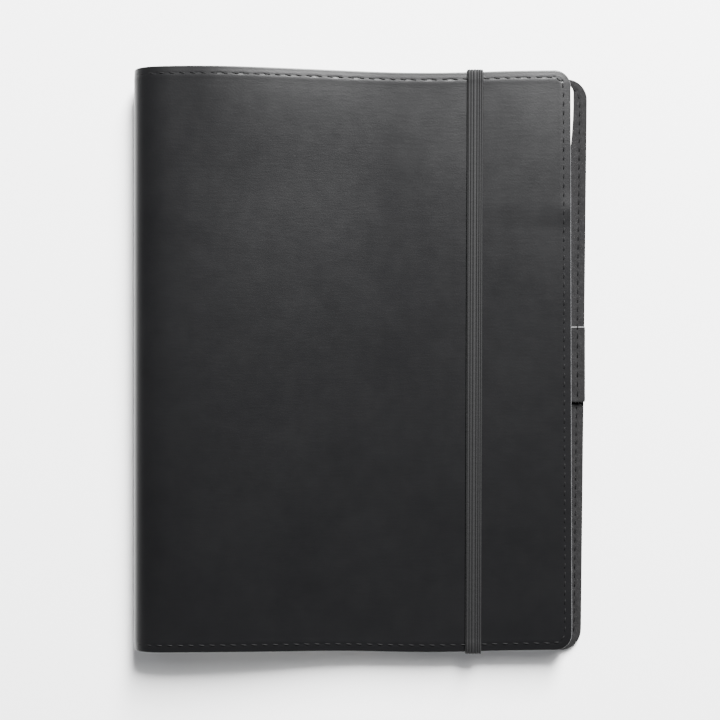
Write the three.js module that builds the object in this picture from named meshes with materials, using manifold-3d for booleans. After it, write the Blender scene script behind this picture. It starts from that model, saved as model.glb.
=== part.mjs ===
// A stitched leather cover for a refillable notebook, lying closed on its back.
// Units are millimetres. The spine is at -X, the fore edge at +X and the head at +Y.
// The underside of the back panel is z = 0.
import * as THREE from 'three';
import { mergeVertices } from 'three/addons/utils/BufferGeometryUtils.js';
import Module from 'manifold-3d';

const wasm = await Module();
wasm.setup();

// Cover leather
const PANEL = 1.4;
const POCKET = 0.9;
const SLOT = 0.8;
const HALF_HEIGHT = 110;
const BACK_FORE = 85.4;
const FRONT_FORE = 79.4;
const BACK_CORNER = 8;
const FRONT_CORNER = 6;
const BACK_SKEW = THREE.MathUtils.degToRad(0.64);

// Spine: a half round from the back panel up to the front panel
const SPINE_X = -78;
const SPINE_MID_RADIUS = 7.9;
const SPINE_STRIPS = ['lower', 'middle', 'upper'];
const SPINE_OUTER_TRIM = 0.5;
const SPINE_INNER_TRIM = 0.08;
const HINGE_GAP = 0.15;

// Front panel: slopes down from the spine, then lies level over the pocket
const SPINE_TOP = 2 * SPINE_MID_RADIUS + PANEL;
const FRONT_TOP = 10.2;
const FLEX_X = 12;

// Pockets
const BACK_MOUTH = 20;
const FRONT_MOUTH = 16;
const POCKET_RIM = 3.6;

// Seams
const SEAM_INSET = 2.9;
const THREAD_WIDTH = 0.7;
const THREAD_HEIGHT = 0.25;

// Notebook
const PAGE_SPINE_X = -68.8;
const PAGE_FORE = 79.2;
const PAGE_HEAD = 104.4;
const PAGE_TAIL = -105.6;
const CARD = 0.6;
const FRONT_CARD_SHIFT = -3.6;
const SIGNATURE = 0.6;
const SIGNATURE_PITCH = 0.63;
const SIGNATURES_PER_HALF = 3;
const TAPE = 0.35;

// Elastic
const BAND_X = 42.4;
const BAND_WIDTH = 6.2;
const BAND = 1;
const BAND_REST = 10.5;
const WRAP = 0.9;
const HEAD_WRAP_Y = 110.2;
const TAIL_WRAP_Y = 111.5;
const NOTCH_TOP = 2.5;
const NOTCH_SIDE_GAP = 1.3;
const NOTCH_INNER_Y = 103;
const HEAD_END_Y = 105.3;
const TAIL_END_Y = -107.5;

// Leather tab on the inner margin of the back
const TAB_INNER_X = 79.6;
const TAB_Y = [-14.4, 14.6];
const TAB_Z = [3.4, 5];

// Half length of a cutting block that passes both ends of the cover
const BEYOND = 120;

// The head wrap and the tail wrap reach unequal distances, so the part is centred along Y.
const CENTRE_Y = (TAIL_WRAP_Y - HEAD_WRAP_Y) / 2;

const CORNER_STEPS = 6;
const ARC_STEPS = 5;

const leather = { color: 0x1d1d1f, roughness: 0.5, metalness: 0 };
const lining = { color: 0x2a2a2b, roughness: 0.85, metalness: 0 };
const thread = { color: 0x111113, roughness: 0.6, metalness: 0 };
const elastic = { color: 0x39393b, roughness: 0.8, metalness: 0 };
const paper = { color: 0xf3f1ea, roughness: 0.9, metalness: 0 };
const card = { color: 0xe6e2d6, roughness: 0.8, metalness: 0 };
const cloth = { color: 0x26262a, roughness: 0.9, metalness: 0 };

function toManifold(geometry) {
  const bare = geometry.index ? geometry.toNonIndexed() : geometry.clone();
  bare.deleteAttribute('normal');
  bare.deleteAttribute('uv');
  const merged = mergeVertices(bare, 1e-4);
  return new wasm.Manifold(new wasm.Mesh({
    numProp: 3,
    vertProperties: new Float32Array(merged.attributes.position.array),
    triVerts: new Uint32Array(merged.index.array),
  }));
}

function toGeometry(solid) {
  const mesh = solid.getMesh();
  const geometry = new THREE.BufferGeometry();
  geometry.setAttribute('position', new THREE.BufferAttribute(new Float32Array(mesh.vertProperties), 3));
  geometry.setIndex(new THREE.BufferAttribute(new Uint32Array(mesh.triVerts), 1));
  geometry.computeVertexNormals();
  return geometry;
}

// Extrudes a closed outline in the XY plane from the height `low` to `high`.
function upright(shape, low, high) {
  const geometry = new THREE.ExtrudeGeometry(shape, {
    depth: high - low,
    bevelEnabled: false,
    curveSegments: CORNER_STEPS,
  });
  geometry.translate(0, 0, low);
  return toManifold(geometry);
}

// Extrudes a section in the XZ plane, a list of [x, z], from the width `from` to `to` along Y.
function lengthwise(section, from, to) {
  const shape = new THREE.Shape(section.map(([x, z]) => new THREE.Vector2(x, z)));
  const geometry = new THREE.ExtrudeGeometry(shape, { depth: to - from, bevelEnabled: false });
  geometry.rotateX(Math.PI / 2);
  geometry.translate(0, to, 0);
  return toManifold(geometry);
}

function block(x0, x1, y0, y1, z0, z1) {
  const geometry = new THREE.BoxGeometry(x1 - x0, y1 - y0, z1 - z0);
  geometry.translate((x0 + x1) / 2, (y0 + y1) / 2, (z0 + z1) / 2);
  return toManifold(geometry);
}

// A rectangle that is square at the spine side and has rounded corners at the fore edge.
function leaf(spineX, foreX, tail, head, radius) {
  const shape = new THREE.Shape();
  shape.moveTo(spineX, tail);
  shape.lineTo(foreX - radius, tail);
  shape.absarc(foreX - radius, tail + radius, radius, -Math.PI / 2, 0, false);
  shape.lineTo(foreX, head - radius);
  shape.absarc(foreX - radius, head - radius, radius, 0, Math.PI / 2, false);
  shape.lineTo(spineX, head);
  shape.closePath();
  return shape;
}

function coverLeaf(spineX, foreX, radius, inset) {
  const reach = HALF_HEIGHT - inset;
  return leaf(spineX, foreX - inset, -reach, reach, Math.max(radius - inset, 1));
}

// The U of a seam: a band of the thread's width that follows the head, fore edge and tail.
function seamBand(spineX, foreX, radius, low, high) {
  const outer = upright(coverLeaf(spineX, foreX, radius, SEAM_INSET - THREAD_WIDTH / 2), low, high);
  const innerLeaf = coverLeaf(spineX - 1, foreX, radius, SEAM_INSET + THREAD_WIDTH / 2);
  return outer.subtract(upright(innerLeaf, low - 1, high + 1));
}

// The back lies slightly askew: the leather turns with the distance from the spine.
function askew(geometry) {
  const position = geometry.attributes.position;
  const width = BACK_FORE - SPINE_X;
  for (let i = 0; i < position.count; i += 1) {
    const reach = position.getX(i) - SPINE_X;
    const y = position.getY(i);
    position.setX(i, position.getX(i) + (y * BACK_SKEW * reach) / width);
    position.setY(i, y - reach * BACK_SKEW);
  }
  geometry.computeVertexNormals();
  return geometry;
}

function spinePoint(radius, degrees) {
  const angle = THREE.MathUtils.degToRad(degrees);
  const centreZ = SPINE_MID_RADIUS + PANEL / 2;
  return [SPINE_X + radius * Math.cos(angle), centreZ + radius * Math.sin(angle)];
}

const OUTER_RADIUS = SPINE_MID_RADIUS + PANEL / 2;
const INNER_RADIUS = SPINE_MID_RADIUS - PANEL / 2;

// A sixth of a circle between two radii, trimmed so that the strips can straighten.
function spineSection(index, inner, outer, innerTrim, outerTrim) {
  const start = -90 - 60 * index;
  const section = [];
  const outerAngle = THREE.MathUtils.radToDeg(outerTrim / outer);
  const innerAngle = THREE.MathUtils.radToDeg(innerTrim / inner);
  for (let i = 0; i <= ARC_STEPS; i += 1) {
    const share = i / ARC_STEPS;
    section.push(spinePoint(outer, start - outerAngle - share * (60 - 2 * outerAngle)));
  }
  for (let i = ARC_STEPS; i >= 0; i -= 1) {
    const share = i / ARC_STEPS;
    section.push(spinePoint(inner, start - innerAngle - share * (60 - 2 * innerAngle)));
  }
  return section.reverse();
}

const cover = new THREE.Group();
cover.position.y = CENTRE_Y;

function add(name, geometry, look) {
  const mesh = new THREE.Mesh(geometry, new THREE.MeshStandardMaterial(look));
  mesh.name = name;
  cover.add(mesh);
}

function buildBack() {
  const spineEdge = SPINE_X + HINGE_GAP;
  const panel = upright(coverLeaf(spineEdge, BACK_FORE, BACK_CORNER, 0), 0, PANEL);
  add('back_panel', askew(toGeometry(panel)), leather);

  const pocketTop = PANEL + SLOT + POCKET;
  const whole = upright(coverLeaf(BACK_MOUTH, BACK_FORE, BACK_CORNER, 0), PANEL, pocketTop);
  const slot = upright(
    coverLeaf(BACK_MOUTH - 1, BACK_FORE, BACK_CORNER, POCKET_RIM), PANEL - 1, PANEL + SLOT);
  const half = BAND_WIDTH / 2 + NOTCH_SIDE_GAP;
  const notch = block(BAND_X - half, BAND_X + half, -BEYOND, BEYOND, PANEL - 1, NOTCH_TOP);
  const keep = block(
    BAND_X - half - 1, BAND_X + half + 1, -NOTCH_INNER_Y, NOTCH_INNER_Y, PANEL - 2, NOTCH_TOP + 1);
  const pocket = whole.subtract(slot).subtract(notch.subtract(keep));
  add('back_pocket', askew(toGeometry(pocket)), lining);

  // The seam runs on the panel, then steps up onto the pocket.
  const height = THREAD_HEIGHT;
  const low = [
    [SPINE_X, PANEL],
    [BACK_MOUTH - 2, PANEL],
    [BACK_MOUTH - 0.1, pocketTop],
    [BACK_FORE, pocketTop],
  ];
  const high = low.map(([x, z]) => [x, z + height]).reverse();
  const sheet = lengthwise([...low, ...high], -BEYOND, BEYOND);
  const seam = sheet.intersect(seamBand(spineEdge, BACK_FORE, BACK_CORNER, 0, 20));
  add('back_seam_thread', askew(toGeometry(seam)), thread);

  const tab = block(TAB_INNER_X, BACK_FORE, TAB_Y[0], TAB_Y[1], TAB_Z[0], TAB_Z[1]);
  add('margin_tab', askew(toGeometry(tab)), leather);
  const tabThreadX = BACK_FORE - SEAM_INSET;
  const tabThread = block(
    tabThreadX - THREAD_WIDTH / 2, tabThreadX + THREAD_WIDTH / 2,
    TAB_Y[0] + 2, TAB_Y[1] - 2, TAB_Z[1], TAB_Z[1] + height);
  add('margin_tab_thread', askew(toGeometry(tabThread)), thread);
}

function buildSpine() {
  const reach = HALF_HEIGHT - SEAM_INSET;
  const centreLine = [-reach, reach];
  SPINE_STRIPS.forEach((name, index) => {
    const strip = spineSection(index, INNER_RADIUS, OUTER_RADIUS, SPINE_INNER_TRIM, SPINE_OUTER_TRIM);
    add(`spine_${name}`, toGeometry(lengthwise(strip, -HALF_HEIGHT, HALF_HEIGHT)), leather);
    const threadTop = INNER_RADIUS - 0.05;
    const threadTrim = SPINE_INNER_TRIM + 0.2;
    const stitch = spineSection(index, threadTop - THREAD_HEIGHT, threadTop, threadTrim, threadTrim);
    centreLine.forEach((y, end) => {
      const side = end === 0 ? 'tail' : 'head';
      const bead = lengthwise(stitch, y - THREAD_WIDTH / 2, y + THREAD_WIDTH / 2);
      add(`spine_${name}_thread_${side}`, toGeometry(bead), thread);
    });
  });
}

// The height of the front panel's upper face where it slopes, between the spine and FLEX_X.
function slopeTop(x) {
  return SPINE_TOP - ((x - SPINE_X) * (SPINE_TOP - FRONT_TOP)) / (FLEX_X - SPINE_X);
}

function slopingSheet(x0, x1, below, above) {
  return [
    [x0, slopeTop(x0) - below],
    [x1, slopeTop(x1) - below],
    [x1, slopeTop(x1) + above],
    [x0, slopeTop(x0) + above],
  ];
}

function buildFront() {
  const x0 = SPINE_X + HINGE_GAP;
  const x1 = FLEX_X - HINGE_GAP;
  const inner = lengthwise(slopingSheet(x0, x1, PANEL, 0), -HALF_HEIGHT, HALF_HEIGHT);
  add('front_panel_inner', toGeometry(inner), leather);
  const reach = HALF_HEIGHT - SEAM_INSET;
  for (const [side, y] of [['tail', -reach], ['head', reach]]) {
    const bead = lengthwise(
      slopingSheet(x0, x1, 0, THREAD_HEIGHT), y - THREAD_WIDTH / 2, y + THREAD_WIDTH / 2);
    add(`front_seam_thread_${side}`, toGeometry(bead), thread);
  }

  const underside = FRONT_TOP - PANEL;
  const outerEdge = FLEX_X + HINGE_GAP;
  const outer = upright(coverLeaf(outerEdge, FRONT_FORE, FRONT_CORNER, 0), underside, FRONT_TOP);
  add('front_panel', toGeometry(outer), leather);
  const whole = upright(
    coverLeaf(FRONT_MOUTH, FRONT_FORE, FRONT_CORNER, 0), underside - SLOT - POCKET, underside);
  const slot = upright(
    coverLeaf(FRONT_MOUTH - 1, FRONT_FORE, FRONT_CORNER, POCKET_RIM), underside - SLOT, underside + 1);
  add('front_pocket', toGeometry(whole.subtract(slot)), lining);
  const seam = seamBand(outerEdge, FRONT_FORE, FRONT_CORNER, FRONT_TOP, FRONT_TOP + THREAD_HEIGHT);
  add('front_seam_thread', toGeometry(seam), thread);
}

// Folded sheets: the fold at the spine side is rounded.
function signatureSection(low) {
  const radius = SIGNATURE / 2;
  const section = [[PAGE_FORE, low], [PAGE_FORE, low + SIGNATURE]];
  for (let i = 0; i <= 4; i += 1) {
    const angle = Math.PI / 2 + (i * Math.PI) / 4;
    section.push([
      PAGE_SPINE_X + radius + radius * Math.cos(angle),
      low + radius + radius * Math.sin(angle),
    ]);
  }
  return section;
}

function buildNotebook() {
  const backCardLow = PANEL + 0.1;
  const backCard = upright(
    leaf(PAGE_SPINE_X, PAGE_FORE, PAGE_TAIL, PAGE_HEAD, 5), backCardLow, backCardLow + CARD);
  add('notebook_back_card', toGeometry(backCard), card);

  const frontCardLow = FRONT_TOP - PANEL - CARD - 0.1;
  const frontCard = upright(
    leaf(PAGE_SPINE_X + FRONT_CARD_SHIFT, PAGE_FORE + FRONT_CARD_SHIFT, PAGE_TAIL, PAGE_HEAD, 5),
    frontCardLow, frontCardLow + CARD);
  add('notebook_front_card', toGeometry(frontCard), card);

  const outline = upright(leaf(PAGE_SPINE_X - 1, PAGE_FORE, PAGE_TAIL, PAGE_HEAD, 4), 0, 20);
  const firstLow = PANEL + SLOT + POCKET + 0.1;
  for (let i = 0; i < 2 * SIGNATURES_PER_HALF; i += 1) {
    const middleGap = i < SIGNATURES_PER_HALF ? 0 : 0.01;
    const low = firstLow + i * SIGNATURE_PITCH + middleGap;
    const sheets = lengthwise(signatureSection(low), PAGE_TAIL, PAGE_HEAD);
    add(`signature_${i + 1}`, toGeometry(sheets.intersect(outline)), paper);
  }

  // The spine tape leans from the back card's edge to the front card's edge.
  const foot = [PAGE_SPINE_X - 0.32, backCardLow + CARD - 0.2];
  const top = [PAGE_SPINE_X + FRONT_CARD_SHIFT - 0.2, frontCardLow - 0.2];
  const length = Math.hypot(top[0] - foot[0], top[1] - foot[1]);
  const across = [((top[1] - foot[1]) * TAPE) / 2 / length, ((foot[0] - top[0]) * TAPE) / 2 / length];
  const tape = lengthwise([
    [foot[0] - across[0], foot[1] - across[1]],
    [foot[0] + across[0], foot[1] + across[1]],
    [top[0] + across[0], top[1] + across[1]],
    [top[0] - across[0], top[1] - across[1]],
  ], PAGE_TAIL, PAGE_HEAD);
  add('notebook_spine_tape', toGeometry(tape), cloth);
}

function buildElastic() {
  const x0 = BAND_X - BAND_WIDTH / 2;
  const x1 = BAND_X + BAND_WIDTH / 2;
  const head = HEAD_WRAP_Y + WRAP;
  const tail = -(TAIL_WRAP_Y + WRAP);
  add('elastic_band', toGeometry(block(x0, x1, tail, head, BAND_REST, BAND_REST + BAND)), elastic);

  const foot = PANEL + 0.05;
  const top = BAND_REST - 0.1;
  const headEnd = block(x0, x1, HEAD_END_Y, head, foot, foot + WRAP);
  const headRise = block(x0, x1, HEAD_WRAP_Y, head, foot, top);
  add('elastic_head_wrap', toGeometry(headEnd.add(headRise)), elastic);
  const tailEnd = block(x0, x1, tail, TAIL_END_Y, foot, foot + WRAP);
  const tailRise = block(x0, x1, tail, -TAIL_WRAP_Y, foot, top);
  add('elastic_tail_wrap', toGeometry(tailEnd.add(tailRise)), elastic);
}

buildBack();
buildSpine();
buildFront();
buildNotebook();
buildElastic();

export default cover;
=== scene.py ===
import math
import random

import bpy
import numpy as np
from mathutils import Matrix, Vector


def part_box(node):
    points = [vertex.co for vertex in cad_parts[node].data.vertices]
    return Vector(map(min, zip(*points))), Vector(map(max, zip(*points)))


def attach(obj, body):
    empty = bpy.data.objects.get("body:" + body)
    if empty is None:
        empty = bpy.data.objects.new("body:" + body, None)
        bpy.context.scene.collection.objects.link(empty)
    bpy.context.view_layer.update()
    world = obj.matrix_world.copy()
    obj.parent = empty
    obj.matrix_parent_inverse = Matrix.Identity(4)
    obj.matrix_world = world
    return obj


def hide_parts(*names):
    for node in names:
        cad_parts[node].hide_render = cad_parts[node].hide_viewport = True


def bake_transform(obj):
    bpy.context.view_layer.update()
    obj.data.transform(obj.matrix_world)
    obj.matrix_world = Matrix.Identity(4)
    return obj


# A stitched leather cover for a refillable notebook, closed and lying on its back.
# Lengths in this file are millimetres until a mesh, a light or the camera is made.

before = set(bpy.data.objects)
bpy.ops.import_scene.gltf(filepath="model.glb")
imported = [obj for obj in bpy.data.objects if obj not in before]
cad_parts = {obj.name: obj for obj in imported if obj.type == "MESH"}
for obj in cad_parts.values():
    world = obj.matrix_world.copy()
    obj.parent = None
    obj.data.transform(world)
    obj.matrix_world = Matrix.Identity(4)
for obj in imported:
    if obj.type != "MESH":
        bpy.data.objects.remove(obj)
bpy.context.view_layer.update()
MM = 0.001
rng = random.Random(7)


def corner(node, which):
    """A CAD node's low (0) or high (1) corner in millimetres."""
    return np.array(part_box(node)[which]) / MM


# Driving dimensions from the frame
FRONT_LOW, FRONT_HIGH = corner("front_panel", 0), corner("front_panel", 1)
CENTRE_Y = (FRONT_LOW[1] + FRONT_HIGH[1]) / 2
HALF_HEIGHT = (FRONT_HIGH[1] - FRONT_LOW[1]) / 2
FRONT_FORE = FRONT_HIGH[0]
FRONT_TOP = FRONT_HIGH[2]
PANEL = corner("back_panel", 1)[2]
SPINE_LEFT = corner("spine_middle", 0)[0]
SPINE_RADIUS = (corner("spine_upper", 1)[2]) / 2
SPINE_X = SPINE_LEFT + SPINE_RADIUS
BACK_FORE = (corner("margin_tab", 1)[0] + corner("back_panel", 1)[0]) / 2 - 0.45
BACK_SKEW = math.radians(0.64)
BAND_X = float((corner("elastic_band", 0)[0] + corner("elastic_band", 1)[0]) / 2)

# Leather
FRONT_CORNER = 6.2
BACK_CORNER = 8.0
EDGE_ROUND = 0.4
SEAM_INSET = 2.75
GROOVE_DEPTH = 0.02
GROOVE_WIDTH = 0.5
SIDE_PITCH = 3.42
END_PITCH = 3.95
THREAD_RADIUS = 0.3
SPINE_BULGE_X = SPINE_X + 8
SPINE_BULGE_TOP = 16.5
SPINE_SHOULDER = 0.75
FRONT_FALL = 80
LOWER_STEPS = 60

# Heights of the hide's unevenness
CREASE = 0.12
FORE_BUMP = 0.2
DENT = 0.16
RIDGE = 0.08
SWELL = 0.13
RIPPLE = 0.04
BAND_PRESS = 0.12
HEAD_LIFT = 1.1


def smooth(t):
    t = np.clip(t, 0, 1)
    return t * t * (3 - 2 * t)


def bell(distance, width):
    return np.exp(-((distance / width) ** 2))


# ---------------------------------------------------------------- the hide
# The outside of the cover is one hide. A point on it is (s, y): s runs along the section
# from the back panel (negative) round the spine and over the front panel, y along the spine.


def front_height(x):
    """The front panel's upper face: full over the spine, then falling to the page block."""
    fall = 1 - smooth((x - SPINE_BULGE_X) / FRONT_FALL)
    level = FRONT_TOP + 0.1 + 0.25 * smooth((x - 46) / 20)
    return level + (SPINE_BULGE_TOP - FRONT_TOP - 0.1) * fall


def section_curve():
    """Outer section points from the back panel's tangent to the front fore edge."""
    lower = np.radians(np.linspace(-90, -180, LOWER_STEPS))
    upper = np.radians(np.linspace(180, 90, 90))
    across = np.linspace(SPINE_BULGE_X, FRONT_FORE, 400)[1:]
    top = front_height(SPINE_BULGE_X)
    x = [SPINE_X + SPINE_RADIUS * np.cos(lower),
         SPINE_BULGE_X - (SPINE_BULGE_X - SPINE_LEFT) * np.abs(np.cos(upper[1:])) ** SPINE_SHOULDER,
         across]
    z = [SPINE_RADIUS + SPINE_RADIUS * np.sin(lower),
         SPINE_RADIUS + (top - SPINE_RADIUS) * np.sin(upper[1:]) ** SPINE_SHOULDER,
         front_height(across)]
    x, z = np.concatenate(x), np.concatenate(z)
    s = np.concatenate([[0], np.cumsum(np.hypot(np.diff(x), np.diff(z)))])
    return s, x, z


CURVE_S, CURVE_X, CURVE_Z = section_curve()
S_FRONT_FORE = CURVE_S[-1]
S_BACK_FORE = -(BACK_FORE - SPINE_X)


def s_of_front(x):
    """s of the front panel's outer face at x."""
    return float(np.interp(x, CURVE_X[LOWER_STEPS:], CURVE_S[LOWER_STEPS:]))


# Where the hide's pieces meet. A search chose these five so that the opened panels lie flat. A
# search outside this file chose these five. The opened spine still rises in humps.
S_BORDERS = [-2.4, 1.96, 10.04, 23.99, 28.02]


def section(s):
    """x, z of the outer face and its outward normal at s."""
    step = 0.05

    def place(at):
        x = np.where(at < 0, SPINE_X - at, np.interp(at, CURVE_S, CURVE_X))
        z = np.where(at < 0, 0.0, np.interp(at, CURVE_S, CURVE_Z))
        beyond = np.maximum(at - CURVE_S[-1], 0)
        return x + beyond, z

    x, z = place(s)
    x0, z0 = place(s - step)
    x1, z1 = place(s + step)
    dx, dz = x1 - x0, z1 - z0
    length = np.hypot(dx, dz)
    return x, z, -dz / length, dx / length


def edge_distance(s, y):
    """Distance in the hide's plane from its cut edge."""
    radius = np.where(s < 0, BACK_CORNER, FRONT_CORNER)
    from_side = np.minimum(S_FRONT_FORE - s, s - S_BACK_FORE)
    from_end = HALF_HEIGHT - np.abs(y)
    in_corner = (from_side < radius) & (from_end < radius)
    round_off = radius - np.hypot(radius - from_side, radius - from_end)
    return np.where(in_corner, round_off, np.minimum(from_side, from_end))


def seam_path(inset):
    """Points (s, y) along the stitch line, in order round the whole hide, with their pitch."""
    path = []

    def arc(cs, cy, radius, first, last):
        for i in range(1, 7):
            a = math.radians(first + (last - first) * i / 6)
            path.append((cs + radius * math.cos(a), cy + radius * math.sin(a), SIDE_PITCH))

    rf, rb = FRONT_CORNER - inset, BACK_CORNER - inset
    top = HALF_HEIGHT - inset
    right, left = S_FRONT_FORE - inset, S_BACK_FORE + inset
    path.append((left + rb, top, END_PITCH))
    path.append((right - rf, top, END_PITCH))
    arc(right - rf, top - rf, rf, 90, 0)
    path.append((right, -top + rf, SIDE_PITCH))
    arc(right - rf, -top + rf, rf, 0, -90)
    path.append((left + rb, -top, END_PITCH))
    arc(left + rb, -top + rb, rb, -90, -180)
    path.append((left, top - rb, SIDE_PITCH))
    arc(left + rb, top - rb, rb, 180, 90)
    return path


def stitch_holes():
    """Hole centres along the seam path, each a pitch from the last."""
    holes = []
    path = seam_path(SEAM_INSET)
    carry = 0.0
    for (s0, y0, _), (s1, y1, pitch) in zip(path, path[1:]):
        length = math.hypot(s1 - s0, y1 - y0)
        count = max(1, round((length - carry) / pitch)) if length > 20 else None
        step = (length - carry) / count if count else pitch
        at = carry
        while at < length - 1e-6:
            t = at / length
            holes.append((s0 + (s1 - s0) * t, y0 + (y1 - y0) * t))
            at += step
        carry = at - length
    return np.array(holes)


HOLES = stitch_holes()


def hole_distance(s, y):
    """Distance to the nearest stitch hole, for the points near the seam."""
    found = np.full(s.shape, 9.0)
    near = np.abs(edge_distance(s, y) - SEAM_INSET) < 2.2
    ps, py = s[near], y[near]
    best = np.full(ps.shape, 9.0)
    for hs, hy in HOLES:
        best = np.minimum(best, np.hypot(ps - hs, py - hy))
    found[near] = best
    return found


def relief(s, y):
    """Height of the hide's outer face over its plain section, along the outward normal."""
    d = edge_distance(s, y)
    proud = smooth(s / 10)
    groove = -GROOVE_DEPTH * bell(d - SEAM_INSET, GROOVE_WIDTH)
    dimple = -0.1 * bell(hole_distance(s, y), 0.36)
    droop = -0.16 * proud * smooth(1 - d / 3.4)
    pillow = 0.02 * proud * bell(d - SEAM_INSET - 1.3, 0.9)
    within = np.clip(d / EDGE_ROUND, 0, 1)
    rounding = -EDGE_ROUND * (1 - np.sqrt(np.clip(1 - (1 - within) ** 2, 0, 1)))
    return groove + dimple + droop + pillow + rounding + proud * waves(s, y)


def waves(s, y):
    """The soft unevenness of the hide: a crease off the fore edge, shallow dents, slow swells."""
    x = np.interp(s, CURVE_S, CURVE_X)
    crease_side = smooth((x - 30) / 25)
    crease = CREASE * crease_side * (smooth((y - 50 + 0.05 * (x - 60)) / 10) - 0.5)
    fore_bump = FORE_BUMP * bell(x - 80, 6) * bell(y - 57, 5)
    dent = -DENT * bell((x - 14) + 0.5 * (y - 20), 15) * bell((y - 20) - 0.4 * (x - 14), 24)
    ridge = RIDGE * bell((x - 6) + 0.75 * (y - 14), 12) * bell(y - 14, 30)
    swell = SWELL * np.sin(x / 31.0 + 0.8) * np.sin(y / 43.0 + 0.5)
    ripple = RIPPLE * np.sin(x / 9.0 + y / 23.0) * np.sin(y / 17.0 - 0.6)
    under_band = -BAND_PRESS * bell(x - BAND_X, 6)
    head_lift = HEAD_LIFT * smooth((y - 62) / 46) * bell(x + 36, 30)
    inside = smooth((x + 78) / 25)
    return inside * (crease + fore_bump + dent + ridge + swell + ripple + under_band + head_lift)


def settle(x, y, z):
    """How the soft cover lies: the back turned a little, the front's ends bowed by the band."""
    reach = np.maximum(x - SPINE_X, 0)
    low = 1 - smooth((z - 3.4) / 3.0)
    turned = BACK_SKEW * reach * low
    dx_back = y * BACK_SKEW * reach / (BACK_FORE - SPINE_X) * low
    bow = -0.95 * bell(x - 24, 30) * (1 - low) + 0.35 * bell(x + 62, 24)
    drawn_in = -0.0085 * y * (1 - smooth((z - 4) / 12)) * smooth((SPINE_X + 4 - x) / 8)
    dx_front = -0.3 * (y / HALF_HEIGHT) * reach / (FRONT_FORE - SPINE_X) * (1 - low)
    return x + dx_back + dx_front, y - turned + bow + drawn_in + CENTRE_Y, z


def hide_point(s, y, depth=0.0, with_relief=True):
    """A point of the hide, depth below its outer face, in the row frame in millimetres."""
    x, z, nx, nz = section(s)
    out = relief(s, y) if with_relief else smooth(s / 10) * waves(s, y)
    out = out - depth
    x, y, z = settle(x + nx * out, y, z + nz * out)
    return np.stack([x, y, z], axis=-1)


# ---------------------------------------------------------------- mesh making


def new_mesh(name, vertices, faces, materials, material_of=None, smooth_angle=40):
    mesh = bpy.data.meshes.new(name)
    mesh.from_pydata((np.asarray(vertices) * MM).tolist(), [], faces)
    for m in materials:
        mesh.materials.append(m)
    if material_of is not None:
        mesh.polygons.foreach_set("material_index", np.asarray(material_of, np.int32))
    mesh.polygons.foreach_set("use_smooth", [True] * len(mesh.polygons))
    mesh.update()
    mesh.set_sharp_from_angle(angle=math.radians(smooth_angle))
    made = bpy.data.objects.new(name, mesh)
    bpy.context.scene.collection.objects.link(made)
    return made


def grid_faces(rows, cols, start=0, flip=False, wrap=False):
    faces = []
    last = cols if wrap else cols - 1
    for i in range(rows - 1):
        for j in range(last):
            k = (j + 1) % cols
            a, b = start + i * cols + j, start + i * cols + k
            c, d = start + (i + 1) * cols + k, start + (i + 1) * cols + j
            faces.append((a, d, c, b) if flip else (a, b, c, d))
    return faces


def thick_sheet(name, outer, inner, open_sides, materials, smooth_angle=40, worn=0, rim_highlight_rows=0):
    """A sheet from two grids of points (rows, columns, 3). Its sides are closed with cut
    edges, apart from the open ones: "first" and "last" column. The last worn columns of the outer
    face get the cut edge's material too, and so do as many of its last rows as the next argument
    says; on the margin tab those rows are the head-side rim only, a painted highlight."""
    rows, cols = outer.shape[:2]
    count = rows * cols
    vertices = np.concatenate([outer.reshape(-1, 3), inner.reshape(-1, 3)])
    faces = grid_faces(rows, cols)
    slots = [0] * len(faces)
    for k in range(len(faces)):
        if k % (cols - 1) >= cols - 1 - worn or k // (cols - 1) >= rows - 1 - rim_highlight_rows:
            slots[k] = 2
    faces += grid_faces(rows, cols, count, flip=True)
    slots += [1] * (len(faces) - len(slots))
    first_row = [(0, j) for j in range(cols)]
    last_row = [(rows - 1, j) for j in range(cols)]
    sides = [list(reversed(first_row)), last_row]
    if "first" not in open_sides:
        sides.append([(i, 0) for i in range(rows)])
    if "last" not in open_sides:
        sides.append([(i, cols - 1) for i in reversed(range(rows))])
    for side in sides:
        for (i0, j0), (i1, j1) in zip(side, side[1:]):
            a, b = i0 * cols + j0, i1 * cols + j1
            faces.append((a, b, count + b, count + a))
            slots.append(2)
    return new_mesh(name, vertices, faces, materials, slots, smooth_angle)


EDGE_STEPS = np.concatenate([[0, 0.04, 0.12, 0.24, 0.4], np.arange(0.65, 5.6, 0.25)])


def rows_across(coarse=1.6):
    """y values from tail to head, close together near both cut ends."""
    near = EDGE_STEPS
    middle = np.linspace(near[-1], 2 * HALF_HEIGHT - near[-1], int(2 * HALF_HEIGHT / coarse))[1:-1]
    return np.concatenate([near, middle, 2 * HALF_HEIGHT - near[::-1]]) - HALF_HEIGHT


ROWS = rows_across()


def side_limit(y, fore, radius):
    """How far a leaf with round corners reaches at y."""
    over = np.clip(np.abs(y) - (HALF_HEIGHT - radius), 0, radius)
    return fore - radius + np.sqrt(np.maximum(radius**2 - over**2, 0))


CORNER_SPAN = 12.0


def leaf_grid(start, fore, radius, coarse=1.6):
    """(s, y) grids of a leaf from start to its rounded fore edge; s counts away from start."""
    near = fore - EDGE_STEPS[::-1]
    count = int(abs(near[0] - start) / coarse)
    columns = np.concatenate([np.linspace(start, near[0], count)[:-1], near])
    s, y = np.meshgrid(columns, ROWS)
    limit = side_limit(y, fore, radius)
    base = fore - CORNER_SPAN
    share = (s - base) / CORNER_SPAN
    s = np.where(s > base, base + share * (limit - base), s)
    return s, y


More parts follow.
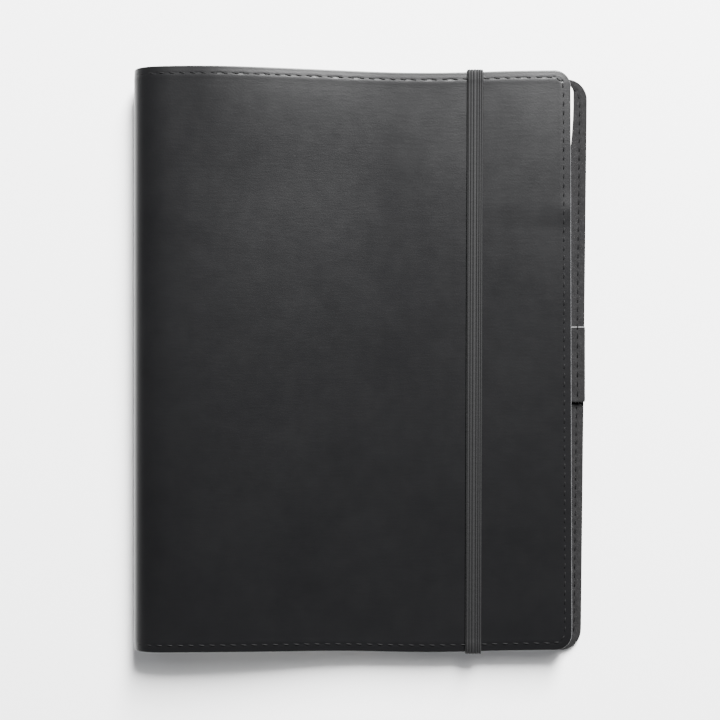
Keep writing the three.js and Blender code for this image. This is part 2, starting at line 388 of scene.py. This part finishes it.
def carry_border_normals(obj, grid_s, grid_y, columns):
    """Gives the border columns the hide's own normals, so that two pieces meet unseen."""
    mesh = obj.data
    rows, cols = grid_s.shape
    normals = np.zeros((len(mesh.vertices), 3))
    for j in columns:
        s, y = grid_s[1:-1, j], grid_y[1:-1, j]
        e = 0.2
        along = hide_point(s + e, y) - hide_point(s - e, y)
        up = hide_point(s, y + e) - hide_point(s, y - e)
        n = np.cross(along, up)
        n /= np.linalg.norm(n, axis=1)[:, None]
        normals[np.arange(1, rows - 1) * cols + j] = n
    mesh.normals_split_custom_set_from_vertices(normals.tolist())


# ---------------------------------------------------------------- materials


class Nodes:
    """A short way to write a material's nodes."""

    def __init__(self, name):
        self.material = bpy.data.materials.new(name)
        self.material.use_nodes = True
        self.tree = self.material.node_tree
        self.shader = self.tree.nodes["Principled BSDF"]
        self.coordinates = self.tree.nodes.new("ShaderNodeTexCoord").outputs["Object"]

    def add(self, kind, links=(), **values):
        node = self.tree.nodes.new(kind)
        for key, value in values.items():
            if key in node.inputs:
                node.inputs[key].default_value = value
            else:
                setattr(node, key, value)
        for name, source in links:
            self.tree.links.new(source, node.inputs[name])
        return node

    def scaled(self, x, y, z):
        return self.add("ShaderNodeMapping", [("Vector", self.coordinates)], Scale=(x, y, z)).outputs[0]

    def noise(self, scale, detail=4, roughness=0.55, vector=None):
        node = self.add("ShaderNodeTexNoise", [("Vector", vector or self.coordinates)])
        node.inputs["Scale"].default_value = scale
        node.inputs["Detail"].default_value = detail
        node.inputs["Roughness"].default_value = roughness
        return node.outputs["Fac"]

    def ramp(self, source, stops):
        node = self.add("ShaderNodeValToRGB", [("Fac", source)])
        while len(node.color_ramp.elements) < len(stops):
            node.color_ramp.elements.new(0.5)
        for element, (at, colour) in zip(node.color_ramp.elements, stops):
            element.position = at
            element.color = (*colour, 1) if hasattr(colour, "__len__") else (colour, colour, colour, 1)
        return node.outputs["Color"]

    def bump(self, source, strength, distance, after=None):
        links = [("Height", source)] + ([("Normal", after)] if after else [])
        node = self.add("ShaderNodeBump", links)
        node.inputs["Strength"].default_value = strength
        node.inputs["Distance"].default_value = distance
        return node.outputs["Normal"]

    def set(self, **inputs):
        for key, value in inputs.items():
            socket = self.shader.inputs[key.replace("_", " ")]
            if isinstance(value, bpy.types.NodeSocket):
                self.tree.links.new(value, socket)
            else:
                socket.default_value = value


def grain_leather(name, dark, light, rough):
    """Satin finished hide: fine pores, faint lengthwise brushing, slow colour change."""
    n = Nodes(name)
    tone = n.noise(28, 5, 0.6)
    n.set(Base_Color=n.ramp(tone, [(0.32, dark), (0.7, light)]))
    sheen = n.noise(160, 4, 0.6)
    n.set(Roughness=n.ramp(sheen, [(0.3, rough[0]), (0.7, rough[1])]))
    pores = n.add("ShaderNodeTexVoronoi", [("Vector", n.scaled(1, 1.35, 1))], Scale=1500.0)
    brushed = n.noise(900, 3, 0.6, n.scaled(0.16, 1, 1))
    soft = n.noise(330, 4, 0.6)
    normal = n.bump(soft, 0.012, 0.0004)
    normal = n.bump(brushed, 0.12, 0.00015, normal)
    normal = n.bump(pores.outputs["Distance"], 0.1, 0.00008, normal)
    n.set(Normal=normal)
    n.shader.inputs["Specular IOR Level"].default_value = 0.25
    return n.material


def flesh_leather(name, dark, light):
    """The napped inner side: mottled, fibrous and matt."""
    n = Nodes(name)
    mottle = n.noise(420, 8, 0.75)
    n.set(Base_Color=n.ramp(mottle, [(0.3, dark), (0.52, light), (0.74, tuple(1.9 * c for c in light))]))
    fibre = n.noise(1700, 6, 0.8, n.scaled(1, 0.45, 1))
    normal = n.bump(mottle, 0.55, 0.0007)
    n.set(Normal=n.bump(fibre, 0.7, 0.0003, normal))
    n.shader.inputs["Roughness"].default_value = 0.92
    n.shader.inputs["Sheen Weight"].default_value = 0.03
    n.shader.inputs["Specular IOR Level"].default_value = 0.2
    return n.material


def cut_edge(name, dark, light):
    """The cut thickness of the hide: pale compressed fibres in thin layers."""
    n = Nodes(name)
    layers = n.noise(900, 4, 0.6, n.scaled(0.3, 0.3, 3))
    n.set(Base_Color=n.ramp(layers, [(0.3, dark), (0.7, light)]))
    n.set(Normal=n.bump(layers, 0.4, 0.0002))
    n.shader.inputs["Roughness"].default_value = 0.6
    return n.material


def thread_material(name, colour):
    n = Nodes(name)
    ply = n.noise(2600, 3, 0.6)
    dark, light = (tuple(share * c for c in colour) for share in (0.6, 1.6))
    n.set(Base_Color=n.ramp(ply, [(0.35, dark), (0.7, light)]))
    n.set(Normal=n.bump(ply, 0.5, 0.0001))
    n.shader.inputs["Roughness"].default_value = 0.62
    n.shader.inputs["Specular IOR Level"].default_value = 0.12
    return n.material


def elastic_material(name, dark, light):
    """Braided elastic: fine cross threads over lengthwise rubber cords."""
    n = Nodes(name)
    weave = n.add("ShaderNodeTexWave", [("Vector", n.coordinates)])
    weave.bands_direction = "Y"
    weave.inputs["Scale"].default_value = 700.0
    weave.inputs["Distortion"].default_value = 4.0
    weave.inputs["Detail"].default_value = 2.0
    weave.inputs["Detail Scale"].default_value = 3.0
    fuzz = n.noise(1700, 5, 0.7)
    mixed = n.add("ShaderNodeMath", [(0, weave.outputs["Fac"]), (1, fuzz)])
    mixed.operation = "MULTIPLY"
    n.set(Base_Color=n.ramp(mixed.outputs[0], [(0.05, dark), (0.6, light)]))
    n.set(Normal=n.bump(mixed.outputs[0], 0.4, 0.00012))
    n.shader.inputs["Roughness"].default_value = 0.7
    n.shader.inputs["Specular IOR Level"].default_value = 0.25
    return n.material


def paper_material(name, dark, light):
    n = Nodes(name)
    fibre = n.noise(600, 6, 0.7)
    n.set(Base_Color=n.ramp(fibre, [(0.3, dark), (0.7, light)]))
    n.set(Normal=n.bump(fibre, 0.12, 0.0001))
    n.shader.inputs["Roughness"].default_value = 0.85
    return n.material


def cloth_material(name, colour):
    n = Nodes(name)
    checks = n.add("ShaderNodeTexChecker", [("Vector", n.coordinates)], Scale=1600.0)
    n.set(Base_Color=n.ramp(n.noise(700), [(0.3, tuple(0.6 * c for c in colour)), (0.7, colour)]))
    n.set(Normal=n.bump(checks.outputs["Fac"], 0.4, 0.0001))
    n.shader.inputs["Roughness"].default_value = 0.85
    return n.material


GRAIN = grain_leather("hide_grain", (0.0028, 0.0028, 0.0031), (0.0040, 0.0040, 0.0043), (0.30, 0.33))
FLESH = flesh_leather("hide_flesh", (0.0024, 0.0024, 0.0026), (0.006, 0.0059, 0.0062))
EDGE = cut_edge("hide_cut_edge", (0.02, 0.02, 0.022), (0.055, 0.055, 0.058))
DARK_EDGE = cut_edge("hide_dark_edge", (0.004, 0.004, 0.0043), (0.013, 0.013, 0.0137))
# The tab's cut edge, paler than the hide's; the same colour on the tab's head-side rim is a painted
# highlight.
PALE_EDGE_AND_HIGHLIGHT = cut_edge("tab_cut_edge_and_highlight", (0.035, 0.035, 0.036), (0.09, 0.09, 0.093))
THREAD = thread_material("waxed_thread", (0.0016, 0.0016, 0.0018))
ELASTIC = elastic_material("braided_elastic", (0.0022, 0.0022, 0.0024), (0.0064, 0.0064, 0.0068))
# A darker copy of the elastic, put on the valleys between the ribs: painted shade in the grooves.
ELASTIC_GROOVE_SHADE = elastic_material("braided_elastic_groove_shade", (0.0008, 0.0008, 0.0009), (0.002, 0.002, 0.0022))
PAPER = paper_material("leaf_paper", (0.78, 0.77, 0.73), (0.87, 0.86, 0.83))
CARD = paper_material("cover_card", (0.55, 0.5, 0.4), (0.64, 0.59, 0.49))
CLOTH = cloth_material("spine_cloth", (0.03, 0.03, 0.034))


# ---------------------------------------------------------------- the hide's pieces


def hide_piece(name, s, y, open_sides, worn=0):
    outer = hide_point(s, y)
    inner = hide_point(s, y, PANEL, with_relief=False)
    return thick_sheet(name, outer, inner, open_sides, [GRAIN, FLESH, EDGE], worn=worn)


def mid_point(s):
    """The middle of the leather's thickness at s, in metres."""
    x, z, nx, nz = section(np.array([s]))
    half = PANEL / 2
    return (float(x[0] - nx[0] * half) * MM, 0.0, float(z[0] - nz[0] * half) * MM)


SPINE_CHAIN = ["back_cover", "spine_lower", "spine_middle", "spine_upper", "front_cover_inner"]
SPINE_NODES = [[], ["spine_lower"], ["spine_middle"], ["spine_upper"]]


def bend_front(obj):
    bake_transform(obj)


def make_front_panel():
    s, y = leaf_grid(S_BORDERS[-1], S_FRONT_FORE, FRONT_CORNER)
    panel = hide_piece("front_panel_hide", s, y, ["first"], worn=3)
    carry_border_normals(panel, s, y, [0])
    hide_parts("front_panel", "front_panel_inner")
    bend_front(panel)


def make_back_panel():
    s, y = leaf_grid(-S_BORDERS[0], -S_BACK_FORE, BACK_CORNER)
    s, y = -s[:, ::-1], y[:, ::-1]
    panel = hide_piece("back_panel_hide", s, y, ["last"])
    carry_border_normals(panel, s, y, [s.shape[1] - 1])
    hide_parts("back_panel")
    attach(panel, "back_cover")


def make_spine():
    for k, (start, end) in enumerate(zip(S_BORDERS, S_BORDERS[1:])):
        columns = np.linspace(start, end, max(14, int((end - start) / 0.7)))
        s, y = np.meshgrid(columns, ROWS)
        piece = hide_piece(f"spine_hide_{k + 1}", s, y, ["first", "last"])
        carry_border_normals(piece, s, y, [0, s.shape[1] - 1])
        if SPINE_NODES[k]:
            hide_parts(*SPINE_NODES[k])
        mid_point(start)
        mid_point(end)
        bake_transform(piece)


# ---------------------------------------------------------------- stitches

SEAM_NAMES = ["back", "spine_1", "spine_2", "spine_3", "spine_4", "front"]
INNER_THREAD_RADIUS = THREAD_RADIUS * 0.85
OUTER_RISE = -0.06
BACK_RISE = -0.34
OUTER_SINK = -0.75
OUTER_SLANT = 0.16
INNER_RISE = 0.16
INNER_SINK = -0.3
INNER_SLANT = 0.12


def stitch(a, b, up, radius, rise, sink, slant):
    """One stitch: a two-ply strand that comes out of hole a, lies on the leather and goes in at b."""
    along = b - a
    length = np.linalg.norm(along)
    along = along / length
    side = np.cross(up, along)
    rings, around = 9, 8
    points = []
    for i in range(rings):
        t = i / (rings - 1)
        lift = sink + (rise - sink) * math.sin(math.pi * t) ** 0.55
        middle = a + along * length * (0.06 + 0.88 * t) + up * lift + side * slant * (0.5 - t) * 2
        thick = radius * (0.62 + 0.38 * math.sin(math.pi * t) ** 0.5)
        for j in range(around):
            angle = 2 * math.pi * j / around
            ply = 1 + 0.13 * math.cos(2 * angle - 5.0 * t)
            points.append(middle + thick * ply * (side * math.cos(angle) + up * math.sin(angle)))
    return np.array(points), rings, around


def stitch_row(name, pairs, surface, radius, rise, sink, slant):
    """Joins the stitches between pairs of holes. surface(s, y) gives a point, with its normal."""
    vertices, faces = [], []
    base = 0
    for a, b in pairs:
        (pa, na), (pb, nb) = surface(*a), surface(*b)
        up = na + nb
        up = up / np.linalg.norm(up)
        points, rings, around = stitch(pa, pb, up, radius, rise, sink, slant)
        faces += grid_faces(rings, around, base, flip=True, wrap=True)
        faces.append(tuple(base + j for j in range(around)))
        faces.append(tuple(base + (rings - 1) * around + j for j in reversed(range(around))))
        vertices.append(points)
        base += rings * around
    return new_mesh(name, np.concatenate(vertices), faces, [THREAD], smooth_angle=80)


def hide_surface(depth):
    """surface(s, y) of the hide at a depth, with the normal that points out of that face."""

    def at(s, y):
        s, y = np.array([s]), np.array([y])
        e = 0.4
        point = hide_point(s, y, depth, with_relief=False)[0]
        along = (hide_point(s + e, y, depth, False) - hide_point(s - e, y, depth, False))[0]
        up = (hide_point(s, y + e, depth, False) - hide_point(s, y - e, depth, False))[0]
        normal = np.cross(along, up)
        normal = normal / np.linalg.norm(normal)
        return point, (normal if depth == 0 else -normal)

    return at


def seam_pairs(low, high):
    """The stitches whose middle lies between two s values."""
    following = np.roll(HOLES, -1, axis=0)
    middle = (HOLES[:, 0] + following[:, 0]) / 2
    near = np.hypot(*(following - HOLES).T) < 2 * END_PITCH
    chosen = (middle > low) & (middle <= high) & near
    return list(zip(HOLES[chosen].tolist(), following[chosen].tolist()))


def make_outer_seam():
    edges = [S_BACK_FORE - 1] + S_BORDERS + [S_FRONT_FORE + 1]
    surface = hide_surface(0)
    for k, (name, low, high) in enumerate(zip(SEAM_NAMES, edges, edges[1:])):
        rise = BACK_RISE if name == "back" else OUTER_RISE
        if not seam_pairs(low, high):
            continue
        row = stitch_row(f"outer_seam_{name}", seam_pairs(low, high), surface,
                         THREAD_RADIUS, rise, OUTER_SINK, OUTER_SLANT)
        if name == "back":
            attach(row, "back_cover")
        elif name == "front":
            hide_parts("front_seam_thread", "front_seam_thread_head", "front_seam_thread_tail")
            bend_front(row)
        else:
            mid_point(low)
            mid_point(high)
            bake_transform(row)


def make_inner_seam():
    """The back of the stitches, on the flesh side of the spine and the open parts of the panels."""
    pocket_back = -(corner("back_pocket", 0)[0] - SPINE_X) + 2
    pocket_front = s_of_front(corner("front_pocket", 0)[0]) - 2
    edges = [pocket_back] + S_BORDERS + [pocket_front]
    surface = hide_surface(PANEL)
    for k, (name, low, high) in enumerate(zip(SEAM_NAMES, edges, edges[1:])):
        if not seam_pairs(low, high):
            continue
        row = stitch_row(f"inner_seam_{name}", seam_pairs(low, high), surface,
                         INNER_THREAD_RADIUS, INNER_RISE, INNER_SINK, INNER_SLANT)
        if name == "back":
            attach(row, "back_cover")
        elif name == "front":
            bend_front(row)
        else:
            part = SPINE_CHAIN[k]
            if part.startswith("spine"):
                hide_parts(f"{part}_thread_head", f"{part}_thread_tail")
            mid_point(low)
            mid_point(high)
            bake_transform(row)


# ---------------------------------------------------------------- pockets

POCKET_THICK = 0.9
SLOT_GAP = 0.78
POCKET_RISE = 0.03
POCKET_SINK = -0.35


def make_pocket(name, s, y, replaced):
    """A flap on the flesh side: closed on the panel at the seam, with a card's room inside."""
    d = edge_distance(s, y)
    lift = SLOT_GAP * smooth((d - SEAM_INSET - 0.6) / 5.0)
    press = 0.1 * bell(d - SEAM_INSET, 0.6) + 0.06 * bell(hole_distance(s, y), 0.5)
    fuzz = 0.05 * np.sin(s * 1.7 + 2.0 * np.sin(y * 0.9)) * np.sin(y * 1.3 + np.sin(s * 2.1))
    edge = np.clip(d / 0.3, 0, 1)
    rounding = 0.3 * (1 - np.sqrt(np.clip(1 - (1 - edge) ** 2, 0, 1)))
    near = hide_point(s, y, PANEL + lift + 0.01, with_relief=False)
    far = hide_point(s, y, PANEL + lift + POCKET_THICK - press - rounding + fuzz, with_relief=False)
    pocket = thick_sheet(name, near, far, [], [GRAIN, FLESH, DARK_EDGE])
    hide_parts(replaced)
    return pocket


def pocket_stitches(name, low, high):
    surface = hide_surface(PANEL + POCKET_THICK - 0.1)
    row = stitch_row(name, seam_pairs(low, high), surface,
                     INNER_THREAD_RADIUS, POCKET_RISE, POCKET_SINK, INNER_SLANT)
    return row


def make_pockets():
    mouth_back = corner("back_pocket", 0)[0] - SPINE_X
    s, y = leaf_grid(mouth_back, -S_BACK_FORE, BACK_CORNER)
    back = make_pocket("back_pocket_flap", -s[:, ::-1], y[:, ::-1], "back_pocket")
    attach(back, "back_cover")
    mouth_front = s_of_front(corner("front_pocket", 0)[0])
    s, y = leaf_grid(mouth_front, S_FRONT_FORE, FRONT_CORNER)
    bend_front(make_pocket("front_pocket_flap", s, y, "front_pocket"))
    back_row = pocket_stitches("back_pocket_stitches", S_BACK_FORE - 1, -mouth_back)
    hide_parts("back_seam_thread")
    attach(back_row, "back_cover")
    bend_front(pocket_stitches("front_pocket_stitches", mouth_front, S_FRONT_FORE + 1))


# ---------------------------------------------------------------- leather tab on the back's margin

TAB_ROOT = 0.9
TAB_LOWERED = 1.1
TAB_STITCHES = 7
TAB_RISE = 0.1
TAB_SINK = -0.4


def rounded_pad(name, x0, x1, y0, y1, z0, z1, radius, edge, materials, step, uneven):
    """A thin pad with rounded corners in plan and rounded upper edges."""
    def spaced(a, b):
        near = np.array([0, 0.06, 0.16, 0.3, 0.5, 0.8])
        middle = np.arange(a + 1.2, b - 1.0, step)
        return np.concatenate([a + near, middle, b - near[::-1]])

    xs, ys = spaced(x0, x1), spaced(y0, y1)
    x, y = np.meshgrid(xs, ys)
    over_y = np.clip(np.maximum(y0 + radius - y, y - y1 + radius), 0, radius)
    cut = radius - np.sqrt(np.maximum(radius**2 - over_y**2, 0))
    share = (x - x0) / (x1 - x0)
    x = (x0 + cut) + share * (x1 - x0 - 2 * cut)
    d = np.minimum(np.minimum(x - (x0 + cut), (x1 - cut) - x), np.minimum(y - y0, y1 - y))
    drop = edge * (1 - np.sqrt(np.clip(1 - (1 - np.clip(d / edge, 0, 1)) ** 2, 0, 1)))
    crown = uneven * np.sin(x * 1.1 + y * 0.35) * np.sin(y * 0.42 + 1.0)
    top = np.stack([x, y, z1 - drop + crown], axis=-1)
    bottom = np.stack([x, y, np.full_like(x, z0)], axis=-1)
    # The last three rows of the top, the rim on the head side only, get the pale cut-edge colour: a
    # painted highlight where the light falls.
    return thick_sheet(name, top, bottom, [], materials, 50, rim_highlight_rows=3)


def make_margin_tab():
    low, high = corner("margin_tab", 0), corner("margin_tab", 1)
    tab = rounded_pad("margin_tab_leather", low[0] + 0.1, high[0] + 0.2, low[1], high[1],
                      low[2] - TAB_ROOT, high[2] - TAB_LOWERED, radius=0.7, edge=0.35,
                      materials=[FLESH, FLESH, PALE_EDGE_AND_HIGHLIGHT], step=0.4, uneven=0.06)
    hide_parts("margin_tab")
    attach(tab, "back_cover")
    x = high[0] - SEAM_INSET
    ys = np.append(np.linspace(low[1] + 1.6, high[1] - 1.6, TAB_STITCHES + 1), high[1] + 1.0)
    top = high[2] - TAB_LOWERED

    def surface(s, y):
        return np.array([s, y, top]), np.array([0.0, 0.0, 1.0])

    pairs = [((x, a), (x, b)) for a, b in zip(ys, ys[1:])]
    row = stitch_row("margin_tab_stitches", pairs, surface,
                     INNER_THREAD_RADIUS, TAB_RISE, TAB_SINK, INNER_SLANT)
    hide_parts("margin_tab_thread")
    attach(row, "back_cover")


# ---------------------------------------------------------------- elastic

BAND_HALF = 3.05
BAND_THICK = 1.0
RIB_EDGES = [-1.0, -0.74, -0.48, -0.19, 0.24, 0.57, 0.88, 1.0]
RIB_POINTS = 6
BAND_LEAN = -0.4


def band_section():
    """Closed outline across the band: lengthwise ribs above and below, rounded sides."""
    outline = []
    for side in (1, -1):
        for low, high in list(zip(RIB_EDGES, RIB_EDGES[1:]))[::side]:
            for k in range(RIB_POINTS):
                share = k / RIB_POINTS if side > 0 else 1 - k / RIB_POINTS
                t = low + (high - low) * share
                rib = math.sin(math.pi * share) ** 0.6
                shoulder = math.sqrt(max(0.0, 1 - abs(t) ** 10))
                outline.append((-t * BAND_HALF, side * BAND_THICK / 2 * (0.5 + 0.5 * rib) * shoulder))
    return outline


def front_edge(y_sign):
    """The front panel's edge under the band, at the head (1) or the tail (-1)."""
    s = s_of_front(BAND_X)
    return hide_point(np.array([s]), np.array([y_sign * HALF_HEIGHT]), 0, with_relief=False)[0]


def band_path():
    """Points (y, z) of the band's middle: up from the head seam, over the front, and up from the
    tail seam."""
    head, tail = front_edge(1), front_edge(-1)
    half = BAND_THICK / 2
    root = PANEL + half + 0.05
    head_in, tail_in = corner("elastic_head_wrap", 0)[1], corner("elastic_tail_wrap", 1)[1]
    s = s_of_front(BAND_X)
    ys = np.linspace(HALF_HEIGHT - 1.2, -HALF_HEIGHT + 1.2, 120)
    over = hide_point(np.full(ys.shape, s), ys, -half - 0.05, with_relief=False)
    seam_rise = 0.12 * bell(HALF_HEIGHT - np.abs(ys) - SEAM_INSET, 1.2)
    top = np.stack([over[:, 1], over[:, 2] + seam_rise], axis=-1)

    def end(edge, inner, sign):
        y_out = edge[1] + sign * (half + 0.12)
        z_top = edge[2] + half
        low_out = corner("back_panel", 1 if sign > 0 else 0)[1]
        low_out = edge[1] + sign * (half + 0.02) if sign > 0 else min(y_out, low_out + 0.9)
        down = [(inner, root), (low_out - sign * 1.6, root), (low_out - sign * 0.5, root + 0.15),
                (low_out, root + 0.7)]
        rise = [(low_out + (y_out - low_out) * t, root + 0.7 + (z_top - 1.6 - root - 0.7) * t)
                for t in (0.25, 0.5, 0.75, 1.0)]
        turn = [(y_out - sign * 0.06, z_top - 1.0), (y_out - sign * 0.3, z_top - 0.4),
                (y_out - sign * 0.75, z_top - 0.08)]
        return down + rise + turn

    return end(head, head_in, 1), top, end(tail, tail_in, -1)


def refine(points, step=0.5):
    """A smooth curve through the points, resampled at even steps."""
    p = np.array(points, float)
    dense = []
    for i in range(len(p) - 1):
        p0, p1, p2, p3 = p[max(i - 1, 0)], p[i], p[i + 1], p[min(i + 2, len(p) - 1)]
        for t in np.linspace(0, 1, 12, endpoint=False):
            dense.append(0.5 * (2 * p1 + (p2 - p0) * t + (2 * p0 - 5 * p1 + 4 * p2 - p3) * t**2
                                + (3 * p1 - p0 - 3 * p2 + p3) * t**3))
    dense.append(p[-1])
    dense = np.array(dense)
    along = np.concatenate([[0], np.cumsum(np.linalg.norm(np.diff(dense, axis=0), axis=1))])
    at = np.linspace(0, along[-1], max(2, int(along[-1] / step) + 1))
    return np.stack([np.interp(at, along, dense[:, k]) for k in range(2)], axis=-1)


def band_mesh(name, path):
    outline = band_section()
    tangent = np.gradient(path, axis=0)
    tangent /= np.linalg.norm(tangent, axis=1)[:, None]
    rings = []
    for (y, z), (ty, tz) in zip(path, tangent):
        middle = BAND_X + BAND_LEAN * (CENTRE_Y - y) / HALF_HEIGHT + 0.1
        rings.append([(middle + across, y + out * tz, z - out * ty) for across, out in outline])
    vertices = np.array(rings)
    rows, cols = vertices.shape[:2]
    faces = grid_faces(rows, cols, 0, flip=True, wrap=True)
    # Faces at the rib edges take the darker elastic: painted shade in the valleys between the ribs.
    slots = [int(k % RIB_POINTS in (0, RIB_POINTS - 1)) for k in range(len(faces))] + [0, 0]
    faces.append(tuple(range(cols)))
    faces.append(tuple((rows - 1) * cols + j for j in reversed(range(cols))))
    return new_mesh(name, vertices.reshape(-1, 3), faces, [ELASTIC, ELASTIC_GROOVE_SHADE], slots, 70)


def make_elastic():
    head, top, tail = band_path()
    full = refine(head + top.tolist() + tail[::-1])
    run = [i for i, (y, z) in enumerate(full)
           if abs(y - CENTRE_Y) < HALF_HEIGHT - 2.5 and z > 8]
    first, last = run[0], run[-1]
    band = band_mesh("elastic_run", full[first:last + 1])
    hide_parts("elastic_band")
    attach(band, "elastic")
    for name, part in (("head", full[:first + 1]), ("tail", full[last:])):
        wrap = band_mesh(f"elastic_wrap_{name}", part)
        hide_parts(f"elastic_{name}_wrap")
        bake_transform(wrap)


# ---------------------------------------------------------------- the notebook inside

LEAVES = 6


def leaf_sheet(name, x0, x1, y0, y1, z, thick, material, radius, flare=0.0):
    """One sheet of paper or card with rounded fore corners."""
    xs = np.concatenate([np.linspace(x0, x1 - radius, 26)[:-1], np.linspace(x1 - radius, x1, 7)])
    turn = radius * (1 - np.cos(np.linspace(0, math.pi / 2, 7)))
    ys = np.concatenate([y0 + turn, np.linspace(y0 + radius, y1 - radius, 40)[1:-1], y1 - turn[::-1]])
    x, y = np.meshgrid(xs, ys)
    over = np.clip(np.maximum(y0 + radius - y, y - y1 + radius), 0, radius)
    limit = x1 - radius + np.sqrt(np.maximum(radius**2 - over**2, 0))
    base = x1 - 2 * radius
    x = np.where(x > base, base + (x - base) / (x1 - base) * (limit - base), x)
    x = x + flare * smooth((y - 66) / 32) * smooth((x - 20) / 50)
    top = np.stack([x, y, np.full_like(x, z + thick)], axis=-1)
    bottom = np.stack([x, y, np.full_like(x, z)], axis=-1)
    return thick_sheet(name, top, bottom, [], [material, material, material], 50)


def join(objects, name):
    bpy.ops.object.select_all(action="DESELECT")
    for o in objects:
        o.select_set(True)
    bpy.context.view_layer.objects.active = objects[0]
    bpy.ops.object.join()
    objects[0].name = name
    objects[0].data.name = name
    return objects[0]


def make_signatures():
    for k in range(1, 7):
        node = f"signature_{k}"
        low, high = corner(node, 0), corner(node, 1)
        pitch = (high[2] - low[2]) / LEAVES
        sheets = []
        for i in range(LEAVES):
            creep = 0.05 * (i % 3) + rng.uniform(-0.18, 0.18)
            fan = rng.uniform(0.0, 0.25) + (1.55 + 0.08 * i if k == 6 and i > 1 else 0.0)
            sheets.append(leaf_sheet(
                f"leaf_{k}_{i}", low[0] + 0.1, high[0] - 0.6 + creep,
                low[1] + rng.uniform(0, 0.25), high[1] + rng.uniform(-0.25, 0.0) + (0.9 if fan > 1 else 0),
                low[2] + i * pitch, pitch * 0.82, PAPER, 3.2, fan))
        block = join(sheets, f"{node}_leaves")
        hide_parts(node)
        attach(block, "notebook" if k <= 3 else "front_pages")


def make_cards():
    for side, body in (("back", "notebook"), ("front", "notebook_front_card")):
        low, high = corner(f"notebook_{side}_card", 0), corner(f"notebook_{side}_card", 1)
        sheet = leaf_sheet(f"{side}_card_board", low[0], high[0], low[1], high[1], low[2], 0.5, CARD, 5)
        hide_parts(f"notebook_{side}_card")
        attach(sheet, body)


def make_tape():
    low, high = corner("notebook_spine_tape", 0), corner("notebook_spine_tape", 1)
    rows = np.linspace(low[1], high[1], 60)
    t = np.linspace(0, 1, 12)
    x = high[0] - 0.2 + (low[0] - high[0] + 0.4) * (t + 0.12 * np.sin(math.pi * t))
    z = low[2] + (high[2] - low[2]) * t
    grid_x, grid_y = np.meshgrid(x, rows)
    grid_z = np.meshgrid(z, rows)[0]
    outer = np.stack([grid_x - 0.14, grid_y, grid_z], axis=-1)
    inner = np.stack([grid_x + 0.14, grid_y, grid_z], axis=-1)
    tape = thick_sheet("spine_tape_cloth", inner, outer, [], [CLOTH, CLOTH, CLOTH])
    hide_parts("notebook_spine_tape")
    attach(tape, "notebook_tape")


# ---------------------------------------------------------------- floor, light and camera
# Places and sizes here are metres, the lens and the sensor millimetres, the lamps' power watts.

FLOOR_SIZE = 16
FLOOR_DROP = 0.0002
CAMERA_X = -0.0008
CAMERA_HEIGHT = 0.501
LENS = 64.7
SENSOR_WIDTH = 36


def make_floor():
    n = Nodes("studio_floor")
    n.set(Base_Color=(0.95, 0.95, 0.95, 1))
    n.shader.inputs["Roughness"].default_value = 0.9
    n.shader.inputs["Specular IOR Level"].default_value = 0.1
    bpy.ops.mesh.primitive_plane_add(size=FLOOR_SIZE)
    floor = bpy.context.object
    floor.name = "studio_floor"
    floor.location.z = -FLOOR_DROP
    floor.data.materials.append(n.material)


def area_light(name, place, width, height, power):
    """A soft box that faces the object."""
    light = bpy.data.lights.new(name, "AREA")
    light.shape = "RECTANGLE"
    light.size, light.size_y = width, height
    light.energy = power
    lamp = bpy.data.objects.new(name, light)
    bpy.context.scene.collection.objects.link(lamp)
    x, y, z = place
    lamp.location = place
    lamp.rotation_euler = (math.atan2(math.hypot(x, y), z), 0, math.atan2(x, -y))


def make_world():
    """A pale surround low down under a dim ceiling. The floor's far end still shows in low views."""
    world = bpy.data.worlds.new("studio_world")
    world.use_nodes = True
    tree = world.node_tree
    background = tree.nodes["Background"]
    direction = tree.nodes.new("ShaderNodeTexCoord").outputs["Generated"]
    split = tree.nodes.new("ShaderNodeSeparateXYZ")
    tree.links.new(direction, split.inputs[0])
    ramp = tree.nodes.new("ShaderNodeValToRGB")
    tree.links.new(split.outputs["Z"], ramp.inputs["Fac"])
    low, high = ramp.color_ramp.elements
    low.position, low.color = 0.2, (1.8, 1.8, 1.82, 1)
    high.position, high.color = 0.5, (0.12, 0.124, 0.132, 1)
    tree.links.new(ramp.outputs["Color"], background.inputs["Color"])
    background.inputs["Strength"].default_value = 1.0
    bpy.context.scene.world = world


def make_lights():
    area_light("key_softbox", place=(0.36, 1.13, 0.98), width=0.45, height=0.9, power=198)
    area_light("sheen_softbox", place=(0.45, 0.7, 1.3), width=0.5, height=0.5, power=8)


def make_camera():
    """Straight down, high enough that the near spine and the fore edge show their height."""
    data = bpy.data.cameras.new("camera")
    data.sensor_width = SENSOR_WIDTH
    data.lens = LENS
    camera = bpy.data.objects.new("camera", data)
    bpy.context.scene.collection.objects.link(camera)
    camera.location = (CAMERA_X, CENTRE_Y * MM, CAMERA_HEIGHT)
    bpy.context.scene.camera = camera


make_camera()
make_floor()
make_world()
make_lights()
make_back_panel()
make_spine()
make_front_panel()
make_outer_seam()
make_inner_seam()
make_pockets()
make_margin_tab()
make_elastic()
make_signatures()
make_cards()
make_tape()
